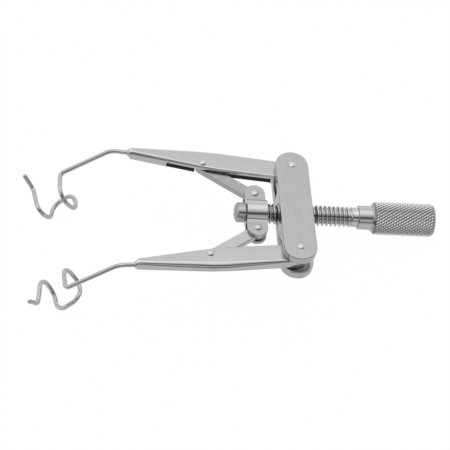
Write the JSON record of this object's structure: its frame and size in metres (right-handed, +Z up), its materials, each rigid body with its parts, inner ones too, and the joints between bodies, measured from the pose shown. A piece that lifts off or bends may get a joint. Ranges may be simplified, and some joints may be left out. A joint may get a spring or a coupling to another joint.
{
  "type": "eye speculum",
  "caption": "Self-retaining eyelid retractor: bent wire blades on hinged arms, spread by links from a yoke on a thumb screw that runs through a plate bridge.",
  "frame": {"origin": "on the surface it rests on, under the middle of its overall length and width", "axes": "+X from the blades towards the knob, +Y towards the arm of the upper lid, +Z up from the surface; it lies tipped with its blades and the rim of its knob down"},
  "size_m": [0.0744, 0.0304, 0.0137],
  "materials": {
    "satin_steel": "fine satin stainless steel",
    "polished_steel": "polished stainless steel",
    "blasted_steel": "bead-blasted stainless steel",
    "knurled_steel": "diamond-knurled stainless steel"
  },
  "bodies": {
    "bridge": {"bridge_plate_top": "satin_steel", "bridge_plate_bottom": "satin_steel", "bridge_nut": "satin_steel", "arm_pivot_rivet_upper": "polished_steel", "arm_pivot_rivet_lower": "polished_steel"},
    "yoke": {"yoke_plate_top": "blasted_steel", "yoke_plate_bottom": "blasted_steel", "yoke_rivet_upper": "polished_steel", "yoke_rivet_lower": "polished_steel"},
    "screw": {"drive_screw": "polished_steel", "screw_end_button": "satin_steel", "thumb_knob": "knurled_steel"},
    "upper_arm": {"arm_upper": "satin_steel", "blade_wire_upper": "polished_steel", "link_rivet_upper": "polished_steel"},
    "lower_arm": {"arm_lower": "satin_steel", "blade_wire_lower": "polished_steel", "link_rivet_lower": "polished_steel"},
    "upper_link": {"link_upper": "satin_steel"},
    "lower_link": {"link_lower": "satin_steel"}
  },
  "joints": [
    {"name": "yoke_slide", "type": "slide", "parent": "bridge", "child": "yoke", "axis": [-0.9839, 0, 0.1788], "range_m": [-0.0015, 0.005]},
    {"name": "screw_turn", "type": "hinge", "parent": "yoke", "child": "screw", "pos_m": [0.00455, 0, 0.00866], "axis": [-0.9839, 0, 0.1788], "range_deg": [-678, 2253]},
    {"name": "upper_arm_hinge", "type": "hinge", "parent": "bridge", "child": "upper_arm", "pos_m": [0.01144, 0.0096, 0.0074], "axis": [-0.1788, 0, -0.9839], "range_deg": [-5.27, 17.22]},
    {"name": "upper_link_hinge", "type": "hinge", "parent": "upper_arm", "child": "upper_link", "pos_m": [-0.0044, 0.0106, 0.01028], "axis": [-0.1788, 0, -0.9839], "range_deg": [-6.31, 20.7]},
    {"name": "lower_arm_hinge", "type": "hinge", "parent": "bridge", "child": "lower_arm", "pos_m": [0.01144, -0.0096, 0.0074], "axis": [0.1788, 0, 0.9839], "range_deg": [-5.27, 17.22]},
    {"name": "lower_link_hinge", "type": "hinge", "parent": "lower_arm", "child": "lower_link", "pos_m": [-0.0044, -0.0106, 0.01028], "axis": [0.1788, 0, 0.9839], "range_deg": [-6.31, 20.7]}
  ],
  "couplings": [
    {"joint": "screw_turn", "follows": "yoke_slide", "rad_per_m": 7854},
    {"joint": "upper_arm_hinge", "follows": "yoke_slide", "rad_per_m": 59.59},
    {"joint": "upper_link_hinge", "follows": "yoke_slide", "rad_per_m": 71.72},
    {"joint": "lower_arm_hinge", "follows": "yoke_slide", "rad_per_m": 59.59},
    {"joint": "lower_link_hinge", "follows": "yoke_slide", "rad_per_m": 71.72}
  ]
}
